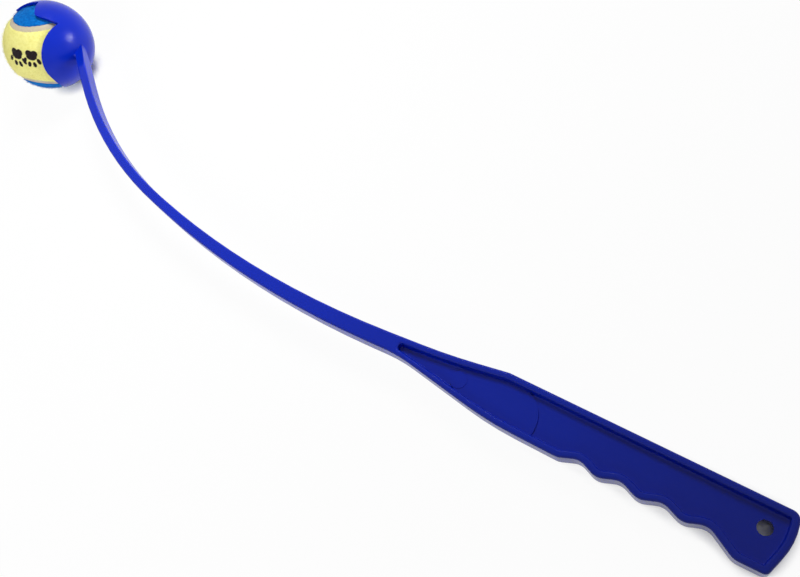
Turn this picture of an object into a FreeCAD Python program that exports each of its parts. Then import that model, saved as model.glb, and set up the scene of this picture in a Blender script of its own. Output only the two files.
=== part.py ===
# Dog tennis ball launcher with its ball. Millimetres.
# Origin at the centre of the hang hole, on the mid plane of the moulding.
# X runs from the butt towards the head, Y points to the finger grooves and the throwing side,
# Z leaves the side face square.

import FreeCAD
import Part
import Sketcher
import math
import os
from BOPTools import SplitAPI

Vector = FreeCAD.Vector
doc = FreeCAD.newDocument("BallLauncher")

# Driving dimensions, one per row: alias, value, what it measures.
SIZES = [
    ("thickness", 12.6, "depth of arm and grip, side face to side face"),
    ("flange", 4.0, "width of the rim round the grip's recess"),
    ("web", 3.0, "wall left between the two recesses"),
    ("edge_round", 1.5, "rounding of the outer edges"),
    ("floor_round", 1.0, "blend between recess wall and web"),
    ("hang_hole", 7.6, "diameter of the hang hole"),
    ("back_edge", 12.75, "hang hole axis to the straight back edge"),
    ("front_edge", 16.45, "hang hole axis to the flat front edge"),
    ("heel_x", -11.6, "corner of butt and back edge"),
    ("heel_radius", 5.0, "rounding of the heel"),
    ("butt_x", -14.3, "rearmost bend of the butt"),
    ("butt_y", 1.2, "height of that bend"),
    ("butt_radius", 38.0, "rounding of the butt"),
    ("toe_x", -8.9, "lower rear corner of the butt"),
    ("toe_y", 20.4, "height of the toe"),
    ("toe_radius", 3.0, "rounding of the toe"),
    ("pommel_x", 6.6, "crest of the butt's hook"),
    ("pommel_y", 20.85, "height of the hook's crest"),
    ("pommel_radius", 9.0, "rounding of the hook"),
    ("groove_start", 22.0, "first finger groove"),
    ("groove_count", 4, "finger grooves"),
    ("groove_pitch", 22.35, "groove to groove"),
    ("groove_floor", 12.17, "hang hole axis to the grooves' virtual floor corners"),
    ("groove_crest", 16.69, "hang hole axis to the virtual crest corners"),
    ("groove_radius", 8.6, "rounding of grooves and crests"),
    ("front_land", 10.6, "last groove to the start of the flat"),
    ("front_taper_x", 141.0, "where the front edge starts to taper"),
    ("front_taper_radius", 205.0, "bend into the front taper"),
    ("back_taper_x", 143.0, "where the back edge starts to taper"),
    ("back_taper_radius", 12.0, "bend into the back taper"),
    ("waist_x", 178.9, "second bend of the back taper"),
    ("waist_y", 6.8, "hang hole axis to that bend"),
    ("waist_radius", 400.0, "rounding of that bend"),
    ("neck_x", 206.5, "where the grip ends and the arm begins"),
    ("neck_y", 0.95, "height of the neck"),
    ("neck_width", 10.9, "arm width in the throwing plane, at the neck"),
    ("neck_radius", 95.0, "bend of the front edge at the neck"),
    ("neck_lean", 3.58, "rise of the arm's first run, degrees"),
    ("bend_run", 16.06, "straight from the neck to the first bend"),
    ("bend_turn", 15.8, "turn of the first bend, degrees"),
    ("bend_radius", 690.0, "midline radius of the first bend"),
    ("bend_width", 7.4, "arm width at the first bend"),
    ("elbow_run", 11.82, "straight between first bend and elbow"),
    ("elbow_turn", 24.5, "turn of the elbow, degrees"),
    ("elbow_radius", 335.0, "midline radius of the elbow"),
    ("elbow_width", 6.5, "arm width at the elbow"),
    ("head_run", 41.87, "straight from the elbow to the cup's skin"),
    ("root_width", 6.4, "arm width at the cup"),
    ("root_place", 188.0, "where the arm meets the cup, degrees round the cup from X"),
    ("root_flare", 5.0, "length of the gusset beside the arm root, on the throwing side"),
    ("root_thickness", 6.0, "depth of the arm where it meets the cup"),
    ("root_taper", 24.0, "length over which the arm thins towards the cup"),
    ("flare_place", 174.8, "where the gusset meets the cup, degrees round the cup from X"),
    ("flare_bite", 1.5, "how deep the gusset runs into the cup's wall"),
    ("recess_reach", 5.5, "neck to the outer end of the recess's rim"),
    ("tip_round", 1.2, "radius of the recess's front tip"),
    ("pad_rise", 0.7, "height of the drop-shaped pad above the web"),
    ("pad_overlap", 1.0, "how deep the pad's back runs into the flange"),
    ("pad_nose_x", 176.5, "virtual corner of the pad's nose"),
    ("pad_nose_y", 4.6, "height of that corner"),
    ("pad_nose_radius", 5.2, "rounding of the nose"),
    ("pad_back_x", 163.0, "where the nose's upper side runs into the back flange"),
    ("pad_tail_x", 117.3, "rear end of the pad's tail"),
    ("pad_tail_radius", 18.0, "rounding of the tail"),
    ("pin_x", 167.6, "centre of the ejector pin's disc in the nose"),
    ("pin_y", 2.8, "height of that centre"),
    ("pin_rise", 0.25, "height of the disc above the pad"),
    ("cup_radius", 34.9, "outer radius of the cup"),
    ("cup_back_wall", 4.2, "cup wall behind the ball"),
    ("mouth_aim", 58.0, "where the cup's mouth points, degrees round from X"),
    ("lobe_edge", 24.3, "cup centre to the flat edge of the lower lobe"),
    ("notch_height", 10.0, "cup centre to the side notch, across the arm"),
    ("ear_reach", 9.6, "cup centre to the upper lobe's ear, along the grip's direction"),
    ("ear_radius", 3.5, "rounding of the ear"),
    ("upper_edge", 10.3, "cup centre to the upper lobe's straight edge"),
    ("upper_tilt", 40.5, "lean of the straight edge, degrees"),
    ("notch_run", 18.6, "length of the straight edge, ear to the bottom of the notch"),
    ("notch_radius", 1.6, "rounding of the notch's bottom"),
    ("hollow_radius", 6.0, "rounding of the hollow edge that leads up to the claw"),
    ("claw_x", 15.9, "cup centre to the claw's side corner, along the grip"),
    ("claw_y", 4.2, "cup centre to the claw's side corner, across the grip"),
    ("claw_radius", 1.8, "rounding of that corner"),
    ("claw_side", 6.4, "length of the claw's side edge"),
    ("claw_side_aim", -101.3, "heading of the side edge, degrees"),
    ("claw_tip_aim", -18.2, "heading of the claw's end from the same corner, degrees"),
    ("mouth_past", 8.2, "how far the lips reach past the cup's centre"),
    ("lobe_widen_start", 3.2, "height above the mid plane where the lower lobe starts to widen"),
    ("lobe_widen_lean", 18.3, "lean of the widened lobe's edge, degrees"),
    ("ball_radius", 32.7, "standard tennis ball"),
    ("ball_play", 0.6, "how much larger the seat's radius is than the ball's"),
    ("felt", 2.2, "felt thickness"),
    ("core_wall", 3.5, "rubber wall of the core"),
    ("seam_width", 3.3, "cement seam between the felt panels"),
    ("seam_sink", 0.5, "how far the seam lies below the felt"),
    ("seam_wave", 0.18, "share of the third harmonic in the seam's curve"),
    ("ball_yaw", -141.8, "how the ball happens to lie in the cup, degrees"),
    ("ball_pitch", -29.9, "second turn of the ball, degrees"),
    ("ball_roll", 47.4, "third turn of the ball, degrees"),
]

size_sheet = doc.addObject("Spreadsheet::Sheet", "Size")
for row, (alias, value, meaning) in enumerate(SIZES, start=1):
    size_sheet.set("A%d" % row, alias)
    size_sheet.set("B%d" % row, str(value))
    size_sheet.set("C%d" % row, meaning)
    size_sheet.setAlias("B%d" % row, alias)
doc.recompute()


def number(expression):
    """Value of an expression on the sheet."""
    return float(size_sheet.evalExpression(expression))


def spot(x, y):
    return (str(x), str(y))


def moved(start, distance, heading):
    """Spot at a distance from another, along a heading in degrees; all are expressions."""
    return (
        "%s + (%s) * cos(%s)" % (start[0], distance, heading),
        "%s + (%s) * sin(%s)" % (start[1], distance, heading),
    )


# The arm's midline is three straight runs joined by two large bends, laid off from the neck.
# A bend's corner lies one tangent length past the end of its run.
NECK = spot("Size.neck_x", "Size.neck_y")
FIRST_LEAN = "(Size.neck_lean)"
SECOND_LEAN = "(Size.neck_lean - Size.bend_turn)"
THIRD_LEAN = "(Size.neck_lean - Size.bend_turn - Size.elbow_turn)"
BEND_REACH = "Size.bend_radius * tan(Size.bend_turn / 2)"
ELBOW_REACH = "Size.elbow_radius * tan(Size.elbow_turn / 2)"
BEND = moved(NECK, "Size.bend_run + %s" % BEND_REACH, FIRST_LEAN)
ELBOW = moved(BEND, "%s + Size.elbow_run + %s" % (BEND_REACH, ELBOW_REACH), SECOND_LEAN)
ROOT = moved(ELBOW, "%s + Size.head_run" % ELBOW_REACH, THIRD_LEAN)
ROOT_END = moved(ROOT, "Size.root_width", THIRD_LEAN)
CLEAR = "(2 * Size.cup_radius)"

# The cup hangs on the end of the arm, and the ball on the cup.
CUP = moved(ROOT, "Size.cup_radius", "(Size.root_place + 180)")
SEAT_RADIUS = "(Size.ball_radius + Size.ball_play)"
SEAT_SHIFT = "(%s - Size.cup_radius + Size.cup_back_wall)" % SEAT_RADIUS
SEAT = moved(CUP, SEAT_SHIFT, "(Size.mouth_aim)")
BALL = moved(CUP, "%s - Size.ball_play / 2" % SEAT_SHIFT, "(Size.mouth_aim)")


def arm_edge(middle, width, heading, side):
    """Spot on an edge of the arm: side is +1 for the throwing side, -1 for the back."""
    return moved(middle, "%s / 2" % width, "(%s + %d)" % (heading, 90 * side))


def add_outline(sketch, corners):
    """Closed outline of straight runs with rounded corners.

    Each corner is (spot, radius): a construction point that the two runs pass through, and an
    arc tangent to both. All three numbers are bound to the sheet. Radius None is a sharp corner.
    """
    count = len(corners)
    points = [Vector(number(x), number(y), 0) for (x, y), radius in corners]
    starts = []
    ends = []
    arcs = []
    for i in range(count):
        here = points[i]
        back = (points[i - 1] - here).normalize()
        ahead = (points[(i + 1) % count] - here).normalize()
        radius = corners[i][1]
        if radius is None:
            starts.append(here)
            ends.append(here)
            arcs.append(None)
            continue
        size = number(radius)
        half = back.getAngle(ahead) / 2
        centre = here + (back + ahead).normalize() * (size / math.sin(half))
        first = here + back * (size / math.tan(half))
        last = here + ahead * (size / math.tan(half))
        starts.append(first)
        ends.append(last)
        middle = centre + (here - centre).normalize() * size
        arcs.append(Part.Arc(first, middle, last))
    lines = []
    for i in range(count):
        line = Part.LineSegment(ends[i], starts[(i + 1) % count])
        lines.append(sketch.addGeometry(line, False))
    for i in range(count):
        before = lines[i - 1]
        after = lines[i]
        mark = sketch.addGeometry(Part.Point(points[i]), True)
        for way, value in zip(("DistanceX", "DistanceY"), corners[i][0]):
            axis = points[i].x if way == "DistanceX" else points[i].y
            tie = sketch.addConstraint(Sketcher.Constraint(way, -1, 1, mark, 1, axis))
            sketch.setExpression("Constraints[%d]" % tie, value)
        if arcs[i] is None:
            sketch.addConstraint(Sketcher.Constraint("Coincident", before, 2, after, 1))
            sketch.addConstraint(Sketcher.Constraint("Coincident", mark, 1, after, 1))
            continue
        arc = sketch.addGeometry(arcs[i], False)
        turn = (points[i] - points[i - 1]).cross(points[(i + 1) % count] - points[i]).z
        enter, leave = (1, 2) if turn > 0 else (2, 1)
        sketch.addConstraint(Sketcher.Constraint("Tangent", before, 2, arc, enter))
        sketch.addConstraint(Sketcher.Constraint("Tangent", arc, leave, after, 1))
        sketch.addConstraint(Sketcher.Constraint("PointOnObject", mark, 1, before))
        sketch.addConstraint(Sketcher.Constraint("PointOnObject", mark, 1, after))
        tie = sketch.addConstraint(Sketcher.Constraint("Radius", arc, number(corners[i][1])))
        sketch.setExpression("Constraints[%d]" % tie, corners[i][1])


def new(kind, name):
    made = doc.addObject(kind, name)
    made.Label = name
    return made


def bind(target, **expressions):
    for place, expression in expressions.items():
        target.setExpression(place.replace("__", "."), expression)


UP = Vector(0, 0, 1)


def extrude(sketch, name, length, lift="0", both_ways=False, way=UP):
    """Extrusion of a sketch or of its offset, along Z unless another way is given."""
    made = new("Part::Extrusion", name)
    made.Base = sketch
    made.DirMode = "Custom"
    made.Dir = way
    made.Solid = True
    made.Symmetric = both_ways
    bind(made, LengthFwd=length, Placement__Base__z=lift)
    return made


def joined(name, *shapes):
    made = new("Part::MultiFuse", name)
    made.Shapes = list(shapes)
    return made


def cut(name, base, tool):
    made = new("Part::Cut", name)
    made.Base = base
    made.Tool = tool
    return made


# Grip outline, from the back taper round the butt to the front taper.

def finger_side():
    """Corners of the four finger grooves and of the front edge, butt to head."""
    corners = []
    for groove in range(int(number("Size.groove_count"))):
        trough = "Size.groove_start + %d * Size.groove_pitch" % groove
        corners.append((spot(trough, "Size.groove_floor"), "Size.groove_radius"))
        if groove + 1 < int(number("Size.groove_count")):
            crest = trough + " + Size.groove_pitch / 2"
            corners.append((spot(crest, "Size.groove_crest"), "Size.groove_radius"))
    land = trough + " + Size.front_land"
    corners.append((spot(land, "Size.front_edge"), "Size.groove_radius"))
    taper = spot("Size.front_taper_x", "Size.front_edge")
    corners.append((taper, "Size.front_taper_radius"))
    return corners


def butt_end():
    """Corners of the butt, from the front side round to the back edge."""
    return [
        (spot("Size.butt_x", "Size.butt_y"), "Size.butt_radius"),
        (spot("Size.toe_x", "Size.toe_y"), "Size.toe_radius"),
        (spot("Size.pommel_x", "Size.pommel_y"), "Size.pommel_radius"),
    ]


HEEL = (spot("Size.heel_x", "-Size.back_edge"), "Size.heel_radius")
BACK_TAPER = (spot("Size.back_taper_x", "-Size.back_edge"), "Size.back_taper_radius")
WAIST = (spot("Size.waist_x", "-Size.waist_y"), "Size.waist_radius")
NECK_FRONT = (arm_edge(NECK, "Size.neck_width", FIRST_LEAN, 1), "Size.neck_radius")


def edge_corner(middle, width, heading, side, radius):
    """Corner on one edge of the arm at a bend of the midline."""
    sign = "+" if side > 0 else "-"
    return (arm_edge(middle, width, heading, side), "%s %s %s / 2" % (radius, sign, width))


BEND_HEADING = "(Size.neck_lean - Size.bend_turn / 2)"
ELBOW_HEADING = "(Size.neck_lean - Size.bend_turn - Size.elbow_turn / 2)"


def arm_back():
    """Corners of the arm's back edge, neck to cup."""
    return [
        edge_corner(BEND, "Size.bend_width", BEND_HEADING, -1, "Size.bend_radius"),
        edge_corner(ELBOW, "Size.elbow_width", ELBOW_HEADING, -1, "Size.elbow_radius"),
        (arm_edge(ROOT_END, "Size.root_width", THIRD_LEAN, -1), None),
    ]


def arm_front():
    """Corners of the arm's front edge, cup to neck, with the gusset at the cup."""
    flare_start = moved(ROOT, "-Size.root_flare", THIRD_LEAN)
    return [
        (arm_edge(ROOT_END, "Size.root_width", THIRD_LEAN, 1), None),
        (moved(CUP, "Size.cup_radius - Size.flare_bite", "Size.flare_place"), None),
        (arm_edge(flare_start, "Size.root_width", THIRD_LEAN, 1), None),
        edge_corner(ELBOW, "Size.elbow_width", ELBOW_HEADING, 1, "Size.elbow_radius"),
        edge_corner(BEND, "Size.bend_width", BEND_HEADING, 1, "Size.bend_radius"),
    ]


# Arm and grip: one flat outline, padded to both sides of the mid plane.
body = new("PartDesign::Body", "arm_and_grip_body")
floor_plane = [f for f in body.Origin.OriginFeatures if f.Role == "XY_Plane"][0]
outline = body.newObject("Sketcher::SketchObject", "side_outline")
outline.AttachmentSupport = [(floor_plane, "")]
outline.MapMode = "FlatFace"
corners = [HEEL, BACK_TAPER, WAIST] + arm_back() + arm_front() + [NECK_FRONT]
corners += finger_side()[::-1] + butt_end()[::-1]
add_outline(outline, corners)
doc.recompute()
pad = body.newObject("PartDesign::Pad", "arm_and_grip_pad")
pad.Profile = outline
pad.Midplane = True
bind(pad, Length="Size.thickness")
doc.recompute()

# The recess is the grip's outline drawn in by the flange, cut from both sides down to the web.
recess_outline = new("Sketcher::SketchObject", "recess_outline")
RECESS_END = moved(NECK, "Size.recess_reach", FIRST_LEAN)
TIP_RADIUS = "Size.flange + Size.tip_round"
tip = [
    (arm_edge(RECESS_END, "Size.neck_width", FIRST_LEAN, -1), TIP_RADIUS),
    (arm_edge(RECESS_END, "Size.neck_width", FIRST_LEAN, 1), TIP_RADIUS),
]
add_outline(recess_outline, [HEEL, BACK_TAPER, WAIST] + tip + finger_side()[::-1] + butt_end()[::-1])
doc.recompute()
recess_wall = new("Part::Offset2D", "recess_wall")
recess_wall.Source = recess_outline
recess_wall.Join = 0
bind(recess_wall, Value="-Size.flange")
recess = extrude(recess_wall, "recess", "Size.thickness / 2", "Size.web / 2")
far_recess = new("Part::Mirroring", "far_recess")
far_recess.Source = recess
far_recess.Normal = UP
both_recesses = joined("both_recesses", recess, far_recess)
open_grip = cut("open_grip", body, both_recesses)
doc.recompute()


SAME_HEIGHT = 1e-6


def flat_edges(shape, height):
    """Numbers of the edges that lie in the planes at plus and minus a height."""
    numbers = []
    for index, edge in enumerate(shape.Edges, start=1):
        box = edge.BoundBox
        if box.ZLength < SAME_HEIGHT and abs(abs(box.ZMin) - height) < SAME_HEIGHT:
            numbers.append(index)
    return numbers


def near_cup(edge):
    middle = Vector(number(CUP[0]), number(CUP[1]), 0)
    spot_on_edge = edge.valueAt((edge.FirstParameter + edge.LastParameter) / 2)
    spot_on_edge.z = 0
    return (spot_on_edge - middle).Length < number("Size.cup_radius")


def rounded(name, base, heights):
    """Fillet on the flat edges at each (height, radius), leaving what the cup swallows."""
    edges = []
    for height, radius in heights:
        for index in flat_edges(base.Shape, number(height)):
            if not near_cup(base.Shape.Edges[index - 1]):
                edges.append((index, number(radius), number(radius)))
    made = new("Part::Fillet", name)
    made.Base = base
    made.Edges = edges
    return made


eased = rounded("eased_grip", open_grip, [
    ("Size.thickness / 2", "Size.edge_round"),
    ("Size.web / 2", "Size.floor_round"),
])
doc.recompute()


# A drop-shaped pad stands a little proud of the web on both sides, with the flat disc of an
# ejector pin in its nose. It is held inside the grip's own outline, whose flange it dies into.
drop_outline = new("Sketcher::SketchObject", "drop_outline")
PAD_BACK = "-(Size.back_edge - Size.flange + Size.pad_overlap)"
PAD_FRONT = "(Size.front_edge + Size.back_edge)"
add_outline(drop_outline, [
    (spot("Size.pad_tail_x", PAD_BACK), "Size.pad_tail_radius"),
    (spot("Size.pad_back_x", PAD_BACK), None),
    (spot("Size.pad_nose_x", "Size.pad_nose_y"), "Size.pad_nose_radius"),
    (spot("Size.pad_tail_x", PAD_FRONT), None),
])
doc.recompute()
drop = extrude(drop_outline, "drop_pad", "Size.web + 2 * Size.pad_rise", both_ways=True)
PIN_DEPTH = "(Size.web + 2 * Size.pad_rise + 2 * Size.pin_rise)"
pin_disc = new("Part::Cylinder", "pin_disc")
bind(
    pin_disc,
    Radius="Size.pad_nose_radius - Size.pin_rise",
    Height=PIN_DEPTH,
    Placement__Base__x="Size.pin_x",
    Placement__Base__y="Size.pin_y",
    Placement__Base__z="-%s / 2" % PIN_DEPTH,
)
drop_and_pin = joined("drop_and_pin", drop, pin_disc)
drop_in_grip = new("Part::MultiCommon", "drop_in_grip")
drop_in_grip.Shapes = [drop_and_pin, body]
grip_with_drop = joined("grip_with_drop", eased, drop_in_grip)
hang_bore = new("Part::Cylinder", "hang_bore")
bind(
    hang_bore,
    Radius="Size.hang_hole / 2",
    Height="Size.thickness",
    Placement__Base__z="-Size.thickness / 2",
)
bored_grip = cut("bored_grip", grip_with_drop, hang_bore)

# Towards the cup the arm thins from both side faces. The wedges that take this away stand on
# the arm's last run, in the plane of its heading and Z.
wedge_outline = new("Sketcher::SketchObject", "wedge_outline")
WEDGE_SLOPE = "(Size.thickness - Size.root_thickness) / 2 / Size.root_taper"
WEDGE_END = "Size.root_width"
add_outline(wedge_outline, [
    (spot("-Size.root_taper", "Size.thickness / 2"), None),
    (spot(WEDGE_END, "Size.root_thickness / 2 - %s * (%s)" % (WEDGE_END, WEDGE_SLOPE)), None),
    (spot(WEDGE_END, "Size.thickness"), None),
    (spot("-Size.root_taper", "Size.thickness"), None),
])
wedge_outline.setExpression(
    "Placement",
    "placement(vector(%s; %s; 0); rotation(vector(0; 0; 1); %s) * rotation(vector(1; 0; 0); 90))"
    % (ROOT[0], ROOT[1], THIRD_LEAN),
)
doc.recompute()
wedge = new("Part::Extrusion", "root_wedge")
wedge.Base = wedge_outline
wedge.DirMode = "Normal"
wedge.Solid = True
wedge.Symmetric = True
bind(wedge, LengthFwd=CLEAR)
far_wedge = new("Part::Mirroring", "far_root_wedge")
far_wedge.Source = wedge
far_wedge.Normal = UP
both_wedges = joined("both_root_wedges", wedge, far_wedge)
arm_and_grip = cut("arm_and_grip", bored_grip, both_wedges)
doc.recompute()


def sphere(name, centre, radius):
    made = new("Part::Sphere", name)
    bind(made, Radius=radius, Placement__Base__x=centre[0], Placement__Base__y=centre[1])
    return made


def from_cup(x, y):
    return ("%s + (%s)" % (CUP[0], x), "%s + (%s)" % (CUP[1], y))


# Cup: a ball-shaped shell. Seen from the side it has a lower lobe beside the arm, an upper lobe
# with a small ear, and past a notch the claw that reaches over the ball. Below the mid plane
# the lower lobe runs further round the ball. All lips end at one plane across the mouth.
EAR_Y = "-(Size.upper_edge - Size.ear_reach * cos(Size.upper_tilt)) / sin(Size.upper_tilt)"
EAR = from_cup("-Size.ear_reach", EAR_Y)
CLAW = from_cup("Size.claw_x", "-Size.claw_y")
side_cut = new("Sketcher::SketchObject", "cup_sides")
add_outline(side_cut, [
    (from_cup("-Size.lobe_edge", "-Size.notch_height"), None),
    (from_cup("-Size.lobe_edge", CLEAR), None),
    (from_cup("-" + CLEAR, CLEAR), None),
    (from_cup("-" + CLEAR, "-" + CLEAR), None),
    (from_cup(CLEAR, "-" + CLEAR), None),
    (moved(CLAW, CLEAR, "(Size.claw_tip_aim)"), None),
    (CLAW, "Size.claw_radius"),
    (moved(CLAW, "Size.claw_side", "(Size.claw_side_aim)"), "Size.hollow_radius"),
    (moved(EAR, "Size.notch_run", "(Size.upper_tilt - 90)"), "Size.notch_radius"),
    (EAR, "Size.ear_radius"),
])
doc.recompute()
cup_sides = extrude(side_cut, "cup_sides_solid", CLEAR, both_ways=True)

wide_outline = new("Sketcher::SketchObject", "wide_lobe_outline")
add_outline(wide_outline, [
    (spot("-Size.lobe_edge", "Size.lobe_widen_start"), None),
    (spot("-" + CLEAR, "Size.lobe_widen_start"), None),
    (spot("-" + CLEAR, "-" + CLEAR), None),
    (spot(
        "-Size.lobe_edge + (Size.lobe_widen_start + %s) * tan(Size.lobe_widen_lean)" % CLEAR,
        "-" + CLEAR,
    ), None),
])
wide_outline.Placement.Rotation = FreeCAD.Rotation(Vector(1, 0, 0), 90)
bind(
    wide_outline,
    Placement__Base__x=CUP[0],
    Placement__Base__y="%s - Size.notch_height" % CUP[1],
)
doc.recompute()
wide_lobe = extrude(wide_outline, "wide_lobe", CLEAR, way=Vector(0, 1, 0))

mouth_outline = new("Sketcher::SketchObject", "mouth_outline")
LIP = moved(CUP, "Size.mouth_past", "(Size.mouth_aim)")
LIP_LEFT = moved(LIP, CLEAR, "(Size.mouth_aim + 90)")
LIP_RIGHT = moved(LIP, CLEAR, "(Size.mouth_aim - 90)")
BEHIND = "(Size.mouth_aim + 180)"
add_outline(mouth_outline, [
    (LIP_RIGHT, None),
    (LIP_LEFT, None),
    (moved(LIP_LEFT, "2 * %s" % CLEAR, BEHIND), None),
    (moved(LIP_RIGHT, "2 * %s" % CLEAR, BEHIND), None),
])
doc.recompute()
behind_mouth = extrude(mouth_outline, "behind_mouth", CLEAR, both_ways=True)

cup_skin = sphere("cup_skin", CUP, "Size.cup_radius")
seat = sphere("seat", SEAT, SEAT_RADIUS)
cup_reach = joined("cup_reach", cup_sides, wide_lobe)
cup = new("Part::MultiCommon", "cup")
cup.Shapes = [cup_skin, cup_reach, behind_mouth]
moulding = joined("moulding", arm_and_grip, cup)
launcher = cut("launcher", moulding, seat)
doc.recompute()


# Ball: a core of two bonded half shells, two felt panels and the cement seam between them.
CORE_RADIUS = "(Size.ball_radius - Size.felt)"
BALL_PLACE = (
    "placement(vector(%s; %s; 0); rotation(vector(0; 0; 1); Size.ball_yaw)"
    " * rotation(vector(0; 1; 0); Size.ball_pitch) * rotation(vector(1; 0; 0); Size.ball_roll))"
    % BALL
)


def half_shell(name, low, high):
    outer = new("Part::Sphere", name + "_skin")
    inner = new("Part::Sphere", name + "_hollow")
    bind(outer, Radius=CORE_RADIUS)
    bind(inner, Radius="%s - Size.core_wall" % CORE_RADIUS)
    outer.Angle1 = low
    outer.Angle2 = high
    return cut(name, outer, inner)


core_lower = half_shell("ball_core_lower", -90, 0)
core_upper = half_shell("ball_core_upper", 0, 90)
for half in (core_lower, core_upper):
    bind(half, Placement=BALL_PLACE)
doc.recompute()


def seam_point(turn):
    """Point of the tennis ball curve on the unit sphere, with its direction of travel."""
    third = number("Size.seam_wave")
    first = 1 - third
    rise = 2 * math.sqrt(first * third)
    place = Vector(
        first * math.cos(turn) + third * math.cos(3 * turn),
        first * math.sin(turn) - third * math.sin(3 * turn),
        rise * math.sin(2 * turn),
    )
    travel = Vector(
        -first * math.sin(turn) - 3 * third * math.sin(3 * turn),
        first * math.cos(turn) - 3 * third * math.cos(3 * turn),
        2 * rise * math.cos(2 * turn),
    )
    return place, travel.normalize()


SEAM_POINTS = 48
SEAM_RUNS = 8
CUTTER_OVERLAP = 3.0


def seam_edge_cutter(side):
    """Shell of ruled faces along the centre's rays through one edge of the seam."""
    radius = number("Size.ball_radius")
    lean = side * number("Size.seam_width") / 2 / radius
    rays = []
    for step in range(SEAM_POINTS):
        place, travel = seam_point(2 * math.pi * step / SEAM_POINTS)
        across = place.cross(travel)
        rays.append(place * math.cos(lean) + across * math.sin(lean))
    rings = []
    for reach in (number(CORE_RADIUS) - CUTTER_OVERLAP, radius + CUTTER_OVERLAP):
        ring = Part.BSplineCurve()
        ring.interpolate([ray * reach for ray in rays], PeriodicFlag=True)
        rings.append(ring)
    faces = []
    for run in range(SEAM_RUNS):
        runs = []
        for ring in rings:
            length = ring.LastParameter - ring.FirstParameter
            start = ring.FirstParameter + length * run / SEAM_RUNS
            runs.append(ring.toShape(start, start + length / SEAM_RUNS))
        faces.append(Part.makeRuledSurface(runs[0], runs[1]))
    return Part.Shell(faces)


felt_shell = Part.makeSphere(number("Size.ball_radius")).cut(Part.makeSphere(number(CORE_RADIUS)))
slices = SplitAPI.slice(felt_shell, [seam_edge_cutter(-1), seam_edge_cutter(1)], "Split").Solids
middle_radius = number(CORE_RADIUS) + number("Size.felt") / 2
seam_start = seam_point(0)[0] * middle_radius
yellow_waist = UP * middle_radius
NEAR = 0.01


def slice_at(spot_inside):
    return [part for part in slices if part.isInside(spot_inside, NEAR, True)][0]


seam_slice = slice_at(seam_start)
yellow = slice_at(yellow_waist)
blue = [part for part in slices if not part.isSame(yellow) and not part.isSame(seam_slice)][0]
seam = seam_slice.common(Part.makeSphere(number("Size.ball_radius - Size.seam_sink")))


def placed(name, shape):
    made = new("Part::Feature", name)
    made.Shape = shape
    bind(made, Placement=BALL_PLACE)
    return made


felt_yellow = placed("ball_felt_yellow", yellow)
felt_blue = placed("ball_felt_blue", blue)
ball_seam = placed("ball_seam", seam)
doc.recompute()

PIECES = [launcher, core_lower, core_upper, felt_yellow, felt_blue, ball_seam]

for item in doc.Objects:
    if "Invalid" in item.State or "Error" in item.State:
        raise RuntimeError("%s did not compute: %s" % (item.Label, item.State))
os.makedirs("parts", exist_ok=True)
for piece in PIECES:
    shape = piece.Shape
    if not shape.isValid() or shape.Volume <= 0:
        raise RuntimeError("%s is not a sound solid" % piece.Label)
    shape.exportStep("parts/%s.step" % piece.Label)
    print("%-18s %8.1f mm3, %d solid" % (piece.Label, shape.Volume, len(shape.Solids)))
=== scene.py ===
import math

import bmesh
import bpy
import numpy as np
from mathutils import Euler, Matrix, Vector, noise


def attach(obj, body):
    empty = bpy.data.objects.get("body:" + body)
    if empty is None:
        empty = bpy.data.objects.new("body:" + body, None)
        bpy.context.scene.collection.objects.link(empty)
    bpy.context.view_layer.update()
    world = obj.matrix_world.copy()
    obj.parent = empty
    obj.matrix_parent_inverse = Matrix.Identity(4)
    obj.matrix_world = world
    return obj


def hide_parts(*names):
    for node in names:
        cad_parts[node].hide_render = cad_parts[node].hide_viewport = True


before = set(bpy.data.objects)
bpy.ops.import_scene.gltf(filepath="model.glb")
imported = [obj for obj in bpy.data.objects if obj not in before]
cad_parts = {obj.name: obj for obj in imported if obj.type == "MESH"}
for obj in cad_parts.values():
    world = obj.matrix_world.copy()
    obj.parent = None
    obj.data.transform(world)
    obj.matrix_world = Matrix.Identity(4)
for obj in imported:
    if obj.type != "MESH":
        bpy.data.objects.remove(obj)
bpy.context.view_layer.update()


# View of the launcher from its thumb side, the cup in the upper left corner and the butt in the
# lower right one. A moderate lens, held about half a metre off and turned with the long axis.

VIEW_SPOT = Vector((0.00486, 0.08831, 0.4383))
VIEW_RIGHT = Vector((-0.8136, -0.5109, -0.2776)).normalized()
VIEW_UP = Vector((0.3764, -0.8267, 0.4183)).normalized()
LENS_MM = 38.25
SENSOR_MM = 36.0

camera_data = bpy.data.cameras.new("catalogue_camera")
camera_data.lens = LENS_MM
camera_data.sensor_width = SENSOR_MM
camera_data.clip_start = 0.01
camera = bpy.data.objects.new("catalogue_camera", camera_data)
bpy.context.scene.collection.objects.link(camera)
view_back = VIEW_RIGHT.cross(VIEW_UP).normalized()
view_up = view_back.cross(VIEW_RIGHT)
view_turn = Matrix((VIEW_RIGHT, view_up, view_back)).transposed().to_4x4()
camera.matrix_world = Matrix.Translation(VIEW_SPOT) @ view_turn
bpy.context.scene.camera = camera
bpy.context.scene.view_settings.view_transform = "Standard"


def add_node(tree, kind, **settings):
    made = tree.nodes.new(kind)
    for name, value in settings.items():
        setattr(made, name, value)
    return made


def add_math(tree, operation, first, second=None, clamp=False):
    """Math node on sockets or plain numbers; returns its result socket."""
    made = add_node(tree, "ShaderNodeMath", operation=operation, use_clamp=clamp)
    for place, value in enumerate((first, second)):
        if value is None:
            continue
        if isinstance(value, (int, float)):
            made.inputs[place].default_value = value
        else:
            tree.links.new(value, made.inputs[place])
    return made.outputs[0]


# Table and room. A matt white sheet that the cup and the butt rest on, in an evenly lit white
# studio. Both are plain white to the lens and in gloss, and the sheet keeps the launcher's
# soft shadow.

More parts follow.
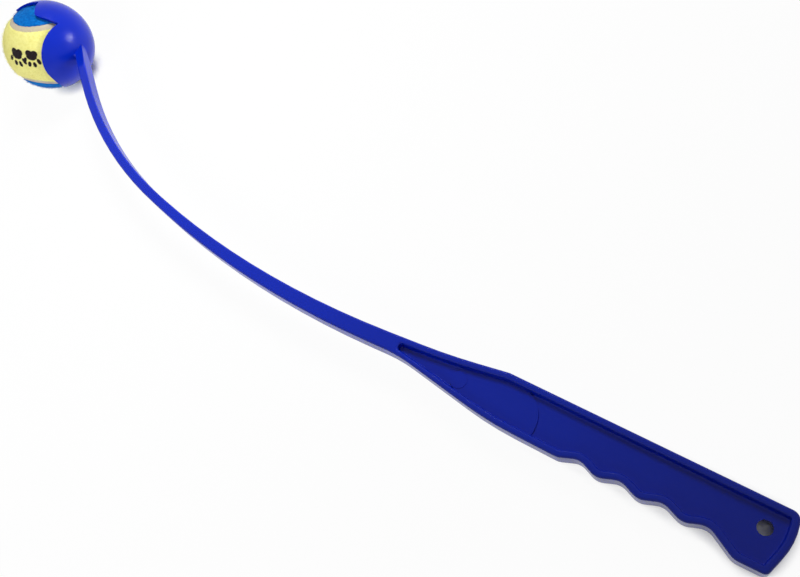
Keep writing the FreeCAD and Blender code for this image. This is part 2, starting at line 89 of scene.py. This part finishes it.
CUP_CENTRE = Vector((0.62086, -0.09369, 0.0))
CUP_LOW = Vector((CUP_CENTRE.x, CUP_CENTRE.y, -0.0354))
BUTT_LOW = Vector((-0.009, 0.0, -0.0066))
SHEET_HALF = 3.0
SHEET_WHITE = (0.9, 0.9, 0.9, 1)
SHADOW_SHARE = 0.04
CONTACT_REACH = 0.012
CONTACT_DARK = 0.3
CONTACT_CLEAR = 0.7


def seen_directly(tree):
    """1 for rays of the lens, of gloss and of glass, 0 for the light that falls on things."""
    path = add_node(tree, "ShaderNodeLightPath")
    mirrored = add_math(tree, "MAXIMUM", path.outputs["Is Glossy Ray"], path.outputs["Is Transmission Ray"])
    return add_math(tree, "MAXIMUM", path.outputs["Is Camera Ray"], mirrored)


slope = (CUP_LOW.z - BUTT_LOW.z) / (CUP_LOW.x - BUTT_LOW.x)
sheet_mesh = bpy.data.meshes.new("white_sheet")
corners = [(x, y, BUTT_LOW.z + slope * (x - BUTT_LOW.x))
           for x, y in ((-SHEET_HALF, -SHEET_HALF), (SHEET_HALF, -SHEET_HALF),
                        (SHEET_HALF, SHEET_HALF), (-SHEET_HALF, SHEET_HALF))]
sheet_mesh.from_pydata(corners, [], [(0, 1, 2, 3)])
white_sheet = bpy.data.objects.new("white_sheet", sheet_mesh)
bpy.context.scene.collection.objects.link(white_sheet)

white_paper = bpy.data.materials.new("white_paper")
white_paper.use_nodes = True
tree = white_paper.node_tree
tree.nodes.clear()
out = add_node(tree, "ShaderNodeOutputMaterial")
matt = add_node(tree, "ShaderNodeBsdfDiffuse")
matt.inputs["Color"].default_value = SHEET_WHITE
glow = add_node(tree, "ShaderNodeEmission")
glow.inputs["Color"].default_value = (1, 1, 1, 1)
blend = add_node(tree, "ShaderNodeMixShader")
enclosed = add_node(tree, "ShaderNodeAmbientOcclusion")
enclosed.inputs["Distance"].default_value = CONTACT_REACH
open_sky = add_node(tree, "ShaderNodeMapRange")
tree.links.new(enclosed.outputs["AO"], open_sky.inputs["Value"])
open_sky.inputs["From Min"].default_value = CONTACT_DARK
open_sky.inputs["From Max"].default_value = CONTACT_CLEAR
share = add_math(tree, "MULTIPLY", seen_directly(tree), 1 - SHADOW_SHARE)
tree.links.new(add_math(tree, "MULTIPLY", share, open_sky.outputs[0]), blend.inputs[0])
tree.links.new(matt.outputs[0], blend.inputs[1])
tree.links.new(glow.outputs[0], blend.inputs[2])
tree.links.new(blend.outputs[0], out.inputs["Surface"])
sheet_mesh.materials.append(white_paper)

FILL_STRENGTH = 0.32
WALLS_END = 0.1
CEILING_START = 0.75
CEILING_TONE = (0.12, 0.12, 0.13, 1)

room = bpy.data.worlds.new("white_room")
room.use_nodes = True
bpy.context.scene.world = room
tree = room.node_tree
tree.nodes.clear()
out = add_node(tree, "ShaderNodeOutputWorld")
seen = add_node(tree, "ShaderNodeBackground")
seen.inputs["Color"].default_value = (1, 1, 1, 1)
seen.inputs["Strength"].default_value = 1.0
fill = add_node(tree, "ShaderNodeBackground")
fill.inputs["Strength"].default_value = FILL_STRENGTH
direction = add_node(tree, "ShaderNodeTexCoord")
split = add_node(tree, "ShaderNodeSeparateXYZ")
tree.links.new(direction.outputs["Generated"], split.inputs[0])
ramp = add_node(tree, "ShaderNodeValToRGB")
ramp.color_ramp.elements[0].position = WALLS_END
ramp.color_ramp.elements[0].color = (1, 1, 1, 1)
ramp.color_ramp.elements[1].position = CEILING_START
ramp.color_ramp.elements[1].color = CEILING_TONE
tree.links.new(split.outputs["Z"], ramp.inputs[0])
tree.links.new(ramp.outputs[0], fill.inputs["Color"])
mix = add_node(tree, "ShaderNodeMixShader")
tree.links.new(seen_directly(tree), mix.inputs[0])
tree.links.new(fill.outputs[0], mix.inputs[1])
tree.links.new(seen.outputs[0], mix.inputs[2])
tree.links.new(mix.outputs[0], out.inputs["Surface"])


def add_lamp(name, spot, target, size, watts, beam=180, shine=True):
    """Square soft box at a spot, aimed at a target; without shine it is cross-polarised."""
    data = bpy.data.lights.new(name, "AREA")
    data.size = size
    data.energy = watts
    data.spread = math.radians(beam)
    lamp = bpy.data.objects.new(name, data)
    bpy.context.scene.collection.objects.link(lamp)
    lamp.location = spot
    lamp.rotation_euler = (Vector(target) - Vector(spot)).to_track_quat("-Z", "Y").to_euler()
    lamp.visible_glossy = shine


add_lamp("key_soft_box", (0.5, -0.55, 0.72), (0.45, -0.01, 0), 0.3, 1.15, beam=70, shine=False)
add_lamp("side_soft_box", (-0.12, -0.62, 0.05), (0.6, -0.09, 0), 0.24, 0.65, beam=70)
add_lamp("wall_soft_box", (0.5, -1.1, 0.25), (0.45, 0, 0), 1.2, 0.35, shine=False)
add_lamp("front_soft_box", (0.35, 0.70, 0.6), (0.62, -0.08, 0), 0.5, 0.85, beam=60, shine=False)


# Launcher: arm, grip and cup in one shot of blue plastic, gloss off the tool with a faint
# orange-peel skin and a few hairline marks from handling. It is the moulding of the frame itself.

BLUE_DEEP = (0.001, 0.014, 0.38, 1)
BLUE_CLEAR = (0.001, 0.023, 0.49, 1)
GLOSSIEST = 0.24
DULLEST = 0.28
MARK_DULLING = 0.01
SKIN_RELIEF = 0.00012
PLASTIC_IOR = 1.49
PLASTIC_SHINE = 0.22

launcher_plastic = bpy.data.materials.new("launcher_plastic")
launcher_plastic.use_nodes = True
tree = launcher_plastic.node_tree
shader = tree.nodes["Principled BSDF"]
place = add_node(tree, "ShaderNodeTexCoord").outputs["Object"]


def noise_at(tree, place, scale, detail=2.0, stretch=None):
    """Noise value of a feature size given as repeats per metre."""
    made = add_node(tree, "ShaderNodeTexNoise")
    made.inputs["Scale"].default_value = scale
    made.inputs["Detail"].default_value = detail
    if stretch is None:
        tree.links.new(place, made.inputs["Vector"])
    else:
        pull = add_node(tree, "ShaderNodeMapping")
        pull.inputs["Scale"].default_value = stretch
        tree.links.new(place, pull.inputs["Vector"])
        tree.links.new(pull.outputs[0], made.inputs["Vector"])
    return made.outputs[0]


def spread(tree, value, low, high, source=(0.0, 1.0)):
    """Map Range of a value."""
    made = add_node(tree, "ShaderNodeMapRange")
    tree.links.new(value, made.inputs["Value"])
    made.inputs["From Min"].default_value = source[0]
    made.inputs["From Max"].default_value = source[1]
    made.inputs["To Min"].default_value = low
    made.inputs["To Max"].default_value = high
    return made.outputs[0]


def mixed(tree, share, first, second):
    """Colour mix; first and second are sockets or colours."""
    made = add_node(tree, "ShaderNodeMix", data_type="RGBA")
    if isinstance(share, (int, float)):
        made.inputs[0].default_value = share
    else:
        tree.links.new(share, made.inputs[0])
    for place, value in ((6, first), (7, second)):
        if isinstance(value, tuple):
            made.inputs[place].default_value = value
        else:
            tree.links.new(value, made.inputs[place])
    return made.outputs[2]


cloud = noise_at(tree, place, 14.0)
tree.links.new(mixed(tree, cloud, BLUE_DEEP, BLUE_CLEAR), shader.inputs["Base Color"])
skin = noise_at(tree, place, 900.0, 3.0)
hairline = noise_at(tree, place, 160.0, 4.0, (0.12, 1.0, 1.0))
marks = spread(tree, hairline, 0.0, MARK_DULLING, (0.5, 0.8))
rough = add_math(tree, "ADD", spread(tree, cloud, GLOSSIEST, DULLEST), marks)
tree.links.new(rough, shader.inputs["Roughness"])
relief = add_node(tree, "ShaderNodeBump")
relief.inputs["Strength"].default_value = 0.12
relief.inputs["Distance"].default_value = SKIN_RELIEF
tree.links.new(skin, relief.inputs["Height"])
tree.links.new(relief.outputs[0], shader.inputs["Normal"])
shader.inputs["IOR"].default_value = PLASTIC_IOR
shader.inputs["Specular IOR Level"].default_value = PLASTIC_SHINE
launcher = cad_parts["launcher"]
launcher.data.materials.clear()
launcher.data.materials.append(launcher_plastic)


# Ball core: two half shells of dark rubber, moulded and bonded at the equator. It only shows
# if the felt is peeled off, and stays as the frame has it.

RUBBER_BLACK = (0.012, 0.012, 0.013, 1)
RUBBER_DUSTY = (0.022, 0.021, 0.022, 1)

core_rubber = bpy.data.materials.new("core_rubber")
core_rubber.use_nodes = True
tree = core_rubber.node_tree
shader = tree.nodes["Principled BSDF"]
place = add_node(tree, "ShaderNodeTexCoord").outputs["Object"]
grit = noise_at(tree, place, 400.0, 4.0)
tree.links.new(mixed(tree, grit, RUBBER_BLACK, RUBBER_DUSTY), shader.inputs["Base Color"])
tree.links.new(spread(tree, grit, 0.65, 0.85), shader.inputs["Roughness"])
relief = add_node(tree, "ShaderNodeBump")
relief.inputs["Strength"].default_value = 0.3
relief.inputs["Distance"].default_value = 0.0002
tree.links.new(grit, relief.inputs["Height"])
tree.links.new(relief.outputs[0], shader.inputs["Normal"])
for half in ("ball_core_lower", "ball_core_upper"):
    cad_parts[half].data.materials.clear()
    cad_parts[half].data.materials.append(core_rubber)


# Cement seam: a pale rubbery bead that fills the gap between the two felt panels and runs
# round the ball in the usual double bend. It is cured in place, a little below the felt.

BALL_CENTRE = Vector((0.62208, -0.09174, 0.0))
BALL_RADIUS = 0.0327
FELT_DEPTH = 0.0022
CORE_RADIUS = BALL_RADIUS - FELT_DEPTH
SEAM_WIDTH = 0.0044
SEAM_SINK = 0.0005
SEAM_WAVE = 0.18
BALL_TURN = Euler((math.radians(47.4), math.radians(-29.9), math.radians(-141.8)), "XYZ").to_matrix()
ball_turn = np.array(BALL_TURN)


def seam_line(turns):
    """Points of the seam on the unit ball and the directions across it, for an array of turns."""
    first = 1 - SEAM_WAVE
    rise = 2 * math.sqrt(first * SEAM_WAVE)
    spots = np.stack((
        first * np.cos(turns) + SEAM_WAVE * np.cos(3 * turns),
        first * np.sin(turns) - SEAM_WAVE * np.sin(3 * turns),
        rise * np.sin(2 * turns),
    ), axis=1)
    travel = np.stack((
        -first * np.sin(turns) - 3 * SEAM_WAVE * np.sin(3 * turns),
        first * np.cos(turns) - 3 * SEAM_WAVE * np.cos(3 * turns),
        2 * rise * np.cos(2 * turns),
    ), axis=1)
    travel /= np.linalg.norm(travel, axis=1)[:, None]
    spots = spots @ ball_turn.T
    travel = travel @ ball_turn.T
    return spots, np.cross(spots, travel)


def add_piece(name, points, faces, smooth=True):
    """Mesh object at the origin from points in metres."""
    mesh = bpy.data.meshes.new(name)
    mesh.from_pydata([tuple(p) for p in points], [], [tuple(f) for f in faces])
    mesh.validate()
    if smooth:
        mesh.polygons.foreach_set("use_smooth", [True] * len(mesh.polygons))
    made = bpy.data.objects.new(name, mesh)
    bpy.context.scene.collection.objects.link(made)
    return made


def turned_outwards(piece):
    """Merges doubled points and turns all faces outwards."""
    shape = bmesh.new()
    shape.from_mesh(piece.data)
    bmesh.ops.remove_doubles(shape, verts=shape.verts, dist=1e-6)
    bmesh.ops.recalc_face_normals(shape, faces=shape.faces)
    shape.to_mesh(piece.data)
    shape.free()


SEAM_STEPS = 480
BEAD_COLUMNS = 8
BEAD_OVERLAP = 0.0005
BEAD_CROWN = 0.00022
BEAD_LUMP = 0.00012
LUMPS_ROUND = 26.0
BEAD_FOOT = 0.0001

turns = np.linspace(0, 2 * math.pi, SEAM_STEPS, endpoint=False)
spots, across = seam_line(turns)
half_angle = (SEAM_WIDTH / 2 + BEAD_OVERLAP) / BALL_RADIUS
bead_points = []
for step in range(SEAM_STEPS):
    for column in range(BEAD_COLUMNS + 1):
        share = column / BEAD_COLUMNS * 2 - 1
        lean = share * half_angle
        ray = Vector(spots[step] * math.cos(lean) + across[step] * math.sin(lean))
        lump = noise.noise(ray * LUMPS_ROUND) * BEAD_LUMP
        height = BALL_RADIUS - SEAM_SINK - BEAD_CROWN * share * share + lump
        bead_points.append(BALL_CENTRE + ray * height)
    for share in (1, -1):
        lean = share * half_angle
        ray = Vector(spots[step] * math.cos(lean) + across[step] * math.sin(lean))
        bead_points.append(BALL_CENTRE + ray * (CORE_RADIUS + BEAD_FOOT))
row = BEAD_COLUMNS + 3
bead_faces = []
for step in range(SEAM_STEPS):
    here = step * row
    ahead = (step + 1) % SEAM_STEPS * row
    for column in range(row):
        beside = (column + 1) % row
        bead_faces.append((here + column, here + beside, ahead + beside, ahead + column))
cement_seam = add_piece("cement_seam", bead_points, bead_faces)
turned_outwards(cement_seam)

CEMENT_DULL = (0.48, 0.41, 0.29, 1)
CEMENT_PALE = (0.61, 0.55, 0.43, 1)
CEMENT_GRAIN = (0.42, 0.33, 0.24, 1)

seam_rubber = bpy.data.materials.new("seam_rubber")
seam_rubber.use_nodes = True
tree = seam_rubber.node_tree
shader = tree.nodes["Principled BSDF"]
place = add_node(tree, "ShaderNodeTexCoord").outputs["Object"]
grain = noise_at(tree, place, 700.0, 4.0)
stain = noise_at(tree, place, 60.0, 3.0)
pale = mixed(tree, stain, CEMENT_DULL, CEMENT_PALE)
flecks = spread(tree, grain, 0.0, 0.35, (0.45, 0.75))
tree.links.new(mixed(tree, flecks, pale, CEMENT_GRAIN), shader.inputs["Base Color"])
tree.links.new(spread(tree, grain, 0.55, 0.8), shader.inputs["Roughness"])
relief = add_node(tree, "ShaderNodeBump")
relief.inputs["Strength"].default_value = 0.4
relief.inputs["Distance"].default_value = 0.0002
tree.links.new(grain, relief.inputs["Height"])
tree.links.new(relief.outputs[0], shader.inputs["Normal"])
cement_seam.data.materials.append(seam_rubber)
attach(cement_seam, "ball")
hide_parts("ball_seam")


# Felt panels: two dumbbell-shaped blanks of brushed needle felt, cemented to the core so that
# they interlock. Their edges roll down to the seam and loose fibres stand off all over.

BALL_GRID = 7
EDGE_ROLL = 0.0016
EDGE_DROP = 0.42
NAP_LUMP = 0.00022
CUT_WANDER = 0.0003
FELT_SWELL = 0.0001
CUT_WAVES = 14.0
CUT_NICKS = 45.0
NICK_SHARE = 0.6
NAP_LUMPS_ROUND = 30.0


def across_seam(rays):
    """Signed distance in metres from rays of the unit ball to the seam's middle."""
    turns = np.linspace(0, 2 * math.pi, 1440, endpoint=False)
    spots, across = seam_line(turns)
    found = np.empty(len(rays))
    for start in range(0, len(rays), 4096):
        part = rays[start:start + 4096]
        nearest = np.argmax(part @ spots.T, axis=1)
        found[start:start + 4096] = np.einsum("ij,ij->i", part, across[nearest])
    return np.arcsin(np.clip(found, -1, 1)) * BALL_RADIUS


def kept_side(rays, faces, depth):
    """Part of a triangle mesh of rays where depth is positive, cut along depth zero."""
    rays = [tuple(ray) for ray in rays]
    depth = list(depth)
    crossings = {}
    kept = []

    def crossing(a, b):
        key = (min(a, b), max(a, b))
        if key not in crossings:
            share = depth[a] / (depth[a] - depth[b])
            spot = Vector(rays[a]).lerp(Vector(rays[b]), share).normalized()
            crossings[key] = len(rays)
            rays.append(tuple(spot))
            depth.append(0.0)
        return crossings[key]

    for face in faces:
        corners = []
        for here, ahead in zip(face, (face[1], face[2], face[0])):
            if depth[here] > 0:
                corners.append(int(here))
            if (depth[here] > 0) != (depth[ahead] > 0):
                corners.append(crossing(here, ahead))
        if len(corners) > 2:
            kept.append(tuple(corners))
    used = sorted({corner for face in kept for corner in face})
    renumbered = {old: new for new, old in enumerate(used)}
    return ([rays[old] for old in used],
            [tuple(renumbered[corner] for corner in face) for face in kept],
            [depth[old] for old in used])


ball_net = bmesh.new()
bmesh.ops.create_icosphere(ball_net, subdivisions=BALL_GRID, radius=1.0)
net_rays = np.array([v.co.normalized()[:] for v in ball_net.verts])
net_faces = [[v.index for v in f.verts] for f in ball_net.faces]
ball_net.free()
net_across = across_seam(net_rays)
wander = np.array([noise.noise(Vector(ray) * CUT_WAVES) + NICK_SHARE * noise.noise(Vector(ray) * CUT_NICKS)
                   for ray in net_rays])


def felt_panel(name, inside):
    """Closed felt blank on the side of the seam where the ray called inside lies."""
    side = math.copysign(1.0, across_seam(np.array([inside[:]]))[0])
    depth = side * net_across - SEAM_WIDTH / 2 + CUT_WANDER * wander
    rays, faces, depth = kept_side(net_rays, net_faces, depth)
    points = []
    for ray, inset in zip(rays, depth):
        ray = Vector(ray)
        roll = max(0.0, 1 - inset / EDGE_ROLL)
        rise = 1 - EDGE_DROP * (1 - math.sqrt(max(0.0, 1 - roll * roll)))
        lump = noise.fractal(ray * NAP_LUMPS_ROUND, 0.7, 2.0, 4) * NAP_LUMP
        points.append(BALL_CENTRE + ray * (CORE_RADIUS + (FELT_DEPTH + FELT_SWELL) * rise + lump * rise))
    panel = add_piece(name, points, faces)
    turned_outwards(panel)
    wall = panel.modifiers.new("felt_depth", "SOLIDIFY")
    wall.thickness = FELT_DEPTH * 0.5
    wall.offset = -1.0
    return panel


def applied(piece):
    """Replaces the object's mesh by what its modifiers make of it."""
    bpy.context.view_layer.update()
    graph = bpy.context.evaluated_depsgraph_get()
    finished = bpy.data.meshes.new_from_object(piece.evaluated_get(graph))
    piece.modifiers.clear()
    piece.data = finished
    finished.name = piece.name
    return piece


YELLOW_WAIST = BALL_TURN @ Vector((0, 0, 1))
BLUE_WAIST = BALL_TURN @ Vector((0, 0, -1))
yellow_panel = applied(felt_panel("yellow_felt_panel", YELLOW_WAIST))
blue_panel = applied(felt_panel("blue_felt_panel", BLUE_WAIST))


def felt_material(name, light, dark, sheen):
    """Brushed felt: matted fibres of two tones, with the socket of its colour left to finish."""
    felt = bpy.data.materials.new(name)
    felt.use_nodes = True
    tree = felt.node_tree
    shader = tree.nodes["Principled BSDF"]
    place = add_node(tree, "ShaderNodeTexCoord").outputs["Object"]
    mat = noise_at(tree, place, 520.0, 6.0)
    patch = noise_at(tree, place, 90.0, 3.0)
    matted = add_math(tree, "MULTIPLY", mat, 0.65)
    patchy = add_math(tree, "MULTIPLY", patch, 0.35)
    tone = add_math(tree, "ADD", matted, patchy)
    colour = mixed(tree, spread(tree, tone, 0.0, 1.0, (0.35, 0.65)), dark, light)
    shader.inputs["Roughness"].default_value = 0.95
    shader.inputs["Specular IOR Level"].default_value = 0.15
    shader.inputs["Sheen Weight"].default_value = sheen
    shader.inputs["Sheen Roughness"].default_value = 0.5
    relief = add_node(tree, "ShaderNodeBump")
    relief.inputs["Strength"].default_value = 0.7
    relief.inputs["Distance"].default_value = 0.0005
    tree.links.new(mat, relief.inputs["Height"])
    tree.links.new(relief.outputs[0], shader.inputs["Normal"])
    return felt, tree, shader, place, colour


BLUE_LIGHT = (0.004, 0.21, 0.64, 1)
BLUE_DARK = (0.001, 0.11, 0.45, 1)
BLUE_SHEEN = 0.04
blue_felt, tree, shader, place, colour = felt_material("blue_felt", BLUE_LIGHT, BLUE_DARK, BLUE_SHEEN)
tree.links.new(colour, shader.inputs["Base Color"])

# Two paw prints, screen-printed in near-black ink on the yellow panel: a rounded heel pad and
# four toes each, side by side, with the felt's fibres breaking up their edges.

INK = (0.018, 0.012, 0.015, 1)
HEEL_OVALS = (((0.0, 0.6), (3.9, 3.2), 0.0), ((1.9, -1.7), (2.5, 2.7), 12.0),
              ((-1.9, -1.7), (2.5, 2.7), -12.0))
TOE_OVALS = (((5.1, 4.3), (1.3, 2.5), -22.0), ((1.9, 7.3), (1.3, 2.3), -8.0),
             ((-1.9, 7.3), (1.3, 2.3), 8.0), ((-5.1, 4.3), (1.3, 2.5), 22.0))
PRINTS = (
    (Vector((-0.2067, 0.7365, 0.6441)), Vector((0.1416, 0.6739, -0.7252)), (1.2, 0.98), 8.0),
    (Vector((-0.5559, 0.6074, 0.5675)), Vector((0.0229, 0.6936, -0.7200)), (1.07, 0.94), 3.0),
)


def print_depth(tree, place):
    """Smallest scaled distance to any oval of the prints; below 1 is ink."""
    shift = add_node(tree, "ShaderNodeVectorMath", operation="SUBTRACT")
    tree.links.new(place, shift.inputs[0])
    shift.inputs[1].default_value = BALL_CENTRE
    ray = add_node(tree, "ShaderNodeVectorMath", operation="NORMALIZE")
    tree.links.new(shift.outputs[0], ray.inputs[0])
    nearest = None
    for middle, down, size, twist in PRINTS:
        middle = middle.normalized()
        down = (down - middle * down.dot(middle)).normalized()
        beside = down.cross(middle)
        flat = add_node(tree, "ShaderNodeCombineXYZ")
        for axis, place_name, stretch in ((beside, "X", size[0]), (down, "Y", size[1])):
            dot = add_node(tree, "ShaderNodeVectorMath", operation="DOT_PRODUCT")
            tree.links.new(ray.outputs[0], dot.inputs[0])
            dot.inputs[1].default_value = axis
            reach = add_math(tree, "MULTIPLY", dot.outputs["Value"], BALL_RADIUS * 1000 / stretch)
            tree.links.new(reach, flat.inputs[place_name])
        facing = add_node(tree, "ShaderNodeVectorMath", operation="DOT_PRODUCT")
        tree.links.new(ray.outputs[0], facing.inputs[0])
        facing.inputs[1].default_value = middle
        for (x, y), (wide, tall), tilt in HEEL_OVALS + TOE_OVALS:
            centre = Matrix.Rotation(math.radians(twist), 2) @ Vector((x, y))
            aim = math.radians(tilt + twist)
            own = add_node(tree, "ShaderNodeMapping", vector_type="TEXTURE")
            own.inputs["Location"].default_value = (centre.x, centre.y, 0)
            own.inputs["Rotation"].default_value = (0, 0, aim)
            own.inputs["Scale"].default_value = (wide, tall, 1)
            tree.links.new(flat.outputs[0], own.inputs["Vector"])
            reach = add_node(tree, "ShaderNodeVectorMath", operation="LENGTH")
            tree.links.new(own.outputs[0], reach.inputs[0])
            depth = reach.outputs["Value"]
            behind = add_math(tree, "LESS_THAN", facing.outputs["Value"], 0.0)
            depth = add_math(tree, "ADD", depth, add_math(tree, "MULTIPLY", behind, 9.0))
            nearest = depth if nearest is None else add_math(tree, "MINIMUM", nearest, depth)
    return nearest


YELLOW_LIGHT = (0.93, 0.89, 0.34, 1)
YELLOW_DARK = (0.84, 0.79, 0.25, 1)
YELLOW_SHEEN = 0.12
yellow_felt, tree, shader, place, colour = felt_material(
    "yellow_felt", YELLOW_LIGHT, YELLOW_DARK, YELLOW_SHEEN)
ragged = add_math(tree, "MULTIPLY", noise_at(tree, place, 1100.0, 3.0), 0.3)
inked = add_math(tree, "ADD", print_depth(tree, place), add_math(tree, "SUBTRACT", ragged, 0.15))
ink_cover = spread(tree, inked, 1.0, 0.0, (0.94, 1.06))
tree.links.new(mixed(tree, ink_cover, colour, INK), shader.inputs["Base Color"])


# Loose fibres: short curved hairs brushed up out of the felt, lying at all angles, so the ball's
# outline is soft.

FIBRES_PER_PANEL = 6200
FIBRE_LENGTH = 0.0017
FIBRE_RADIUS = 0.00006


def fibre_tree():
    """Geometry Nodes tree that scatters fibres on a panel and keeps the panel."""
    tree = bpy.data.node_groups.new("brushed_fibres", "GeometryNodeTree")
    sockets = tree.interface
    sockets.new_socket("Felt", in_out="INPUT", socket_type="NodeSocketGeometry")
    for name, value in (("Fibres per square metre", 1.0e6), ("Fibre length", FIBRE_LENGTH),
                        ("Fibre radius", FIBRE_RADIUS)):
        made = sockets.new_socket(name, in_out="INPUT", socket_type="NodeSocketFloat")
        made.default_value = value
    sockets.new_socket("Ball centre", in_out="INPUT", socket_type="NodeSocketVector")
    sockets.new_socket("Seed", in_out="INPUT", socket_type="NodeSocketInt")
    sockets.new_socket("Felt finish", in_out="INPUT", socket_type="NodeSocketMaterial")
    sockets.new_socket("Felt", in_out="OUTPUT", socket_type="NodeSocketGeometry")
    entry = add_node(tree, "NodeGroupInput")
    leave = add_node(tree, "NodeGroupOutput")
    link = tree.links.new

    outward = add_node(tree, "ShaderNodeVectorMath", operation="SUBTRACT")
    link(add_node(tree, "GeometryNodeInputPosition").outputs[0], outward.inputs[0])
    link(entry.outputs["Ball centre"], outward.inputs[1])
    facing = add_node(tree, "ShaderNodeVectorMath", operation="DOT_PRODUCT")
    link(outward.outputs[0], facing.inputs[0])
    link(add_node(tree, "GeometryNodeInputNormal").outputs[0], facing.inputs[1])
    brushed_side = add_node(tree, "ShaderNodeMath", operation="GREATER_THAN")
    link(facing.outputs["Value"], brushed_side.inputs[0])
    brushed_side.inputs[1].default_value = 0.0

    scatter = add_node(tree, "GeometryNodeDistributePointsOnFaces")
    link(entry.outputs["Felt"], scatter.inputs["Mesh"])
    link(brushed_side.outputs[0], scatter.inputs["Selection"])
    link(entry.outputs["Fibres per square metre"], scatter.inputs["Density"])
    link(entry.outputs["Seed"], scatter.inputs["Seed"])

    hair = add_node(tree, "GeometryNodeCurveQuadraticBezier")
    hair.inputs["Resolution"].default_value = 2
    for name, height, lean in (("Start", -0.12, 0.0), ("Middle", 0.5, 0.05), ("End", 0.78, 0.55)):
        place = add_node(tree, "ShaderNodeCombineXYZ")
        for axis, share in (("X", lean), ("Z", height)):
            stretch = add_node(tree, "ShaderNodeMath", operation="MULTIPLY")
            link(entry.outputs["Fibre length"], stretch.inputs[0])
            stretch.inputs[1].default_value = share
            link(stretch.outputs[0], place.inputs[axis])
        link(place.outputs[0], hair.inputs[name])
    ring = add_node(tree, "GeometryNodeCurvePrimitiveCircle")
    ring.inputs["Resolution"].default_value = 3
    link(entry.outputs["Fibre radius"], ring.inputs["Radius"])
    strand = add_node(tree, "GeometryNodeCurveToMesh")
    link(hair.outputs[0], strand.inputs["Curve"])
    link(ring.outputs[0], strand.inputs["Profile Curve"])

    random_turn = add_node(tree, "FunctionNodeRandomValue", data_type="FLOAT_VECTOR")
    random_turn.inputs["Min"].default_value = (-1.15, -1.15, -math.pi)
    random_turn.inputs["Max"].default_value = (1.15, 1.15, math.pi)
    turn = add_node(tree, "FunctionNodeEulerToRotation")
    link(random_turn.outputs["Value"], turn.inputs[0])
    aim = add_node(tree, "FunctionNodeRotateRotation", rotation_space="LOCAL")
    link(scatter.outputs["Rotation"], aim.inputs[0])
    link(turn.outputs[0], aim.inputs[1])
    random_size = add_node(tree, "FunctionNodeRandomValue", data_type="FLOAT")
    random_size.inputs["Min"].default_value = 0.45
    random_size.inputs["Max"].default_value = 1.0
    plant = add_node(tree, "GeometryNodeInstanceOnPoints")
    link(scatter.outputs["Points"], plant.inputs["Points"])
    link(strand.outputs[0], plant.inputs["Instance"])
    link(aim.outputs[0], plant.inputs["Rotation"])
    link(random_size.outputs[1], plant.inputs["Scale"])
    real = add_node(tree, "GeometryNodeRealizeInstances")
    link(plant.outputs[0], real.inputs[0])
    both = add_node(tree, "GeometryNodeJoinGeometry")
    link(real.outputs[0], both.inputs[0])
    link(entry.outputs["Felt"], both.inputs[0])
    finish = add_node(tree, "GeometryNodeSetMaterial")
    link(both.outputs[0], finish.inputs["Geometry"])
    link(entry.outputs["Felt finish"], finish.inputs["Material"])
    link(finish.outputs[0], leave.inputs[0])
    return tree


brushed_fibres = fibre_tree()


def set_input(modifier, name, value):
    for item in modifier.node_group.interface.items_tree:
        if item.item_type == "SOCKET" and item.in_out == "INPUT" and item.name == name:
            modifier[item.identifier] = value


def brushed(panel, finish, seed):
    """Adds the fibres to a panel and makes the whole a plain mesh."""
    area = sum(face.area for face in panel.data.polygons if face.normal.dot(face.center - BALL_CENTRE) > 0)
    nap = panel.modifiers.new("brushed_fibres", "NODES")
    nap.node_group = brushed_fibres
    set_input(nap, "Fibres per square metre", FIBRES_PER_PANEL / area)
    set_input(nap, "Ball centre", tuple(BALL_CENTRE))
    set_input(nap, "Fibre length", FIBRE_LENGTH)
    set_input(nap, "Fibre radius", FIBRE_RADIUS)
    set_input(nap, "Seed", seed)
    set_input(nap, "Felt finish", finish)
    return applied(panel)


for panel, finish, node, slot, seed in (
        (yellow_panel, yellow_felt, "ball_felt_yellow", "yellow_felt", 11),
        (blue_panel, blue_felt, "ball_felt_blue", "blue_felt", 12)):
    brushed(panel, finish, seed)
    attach(panel, "ball")
    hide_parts(node)
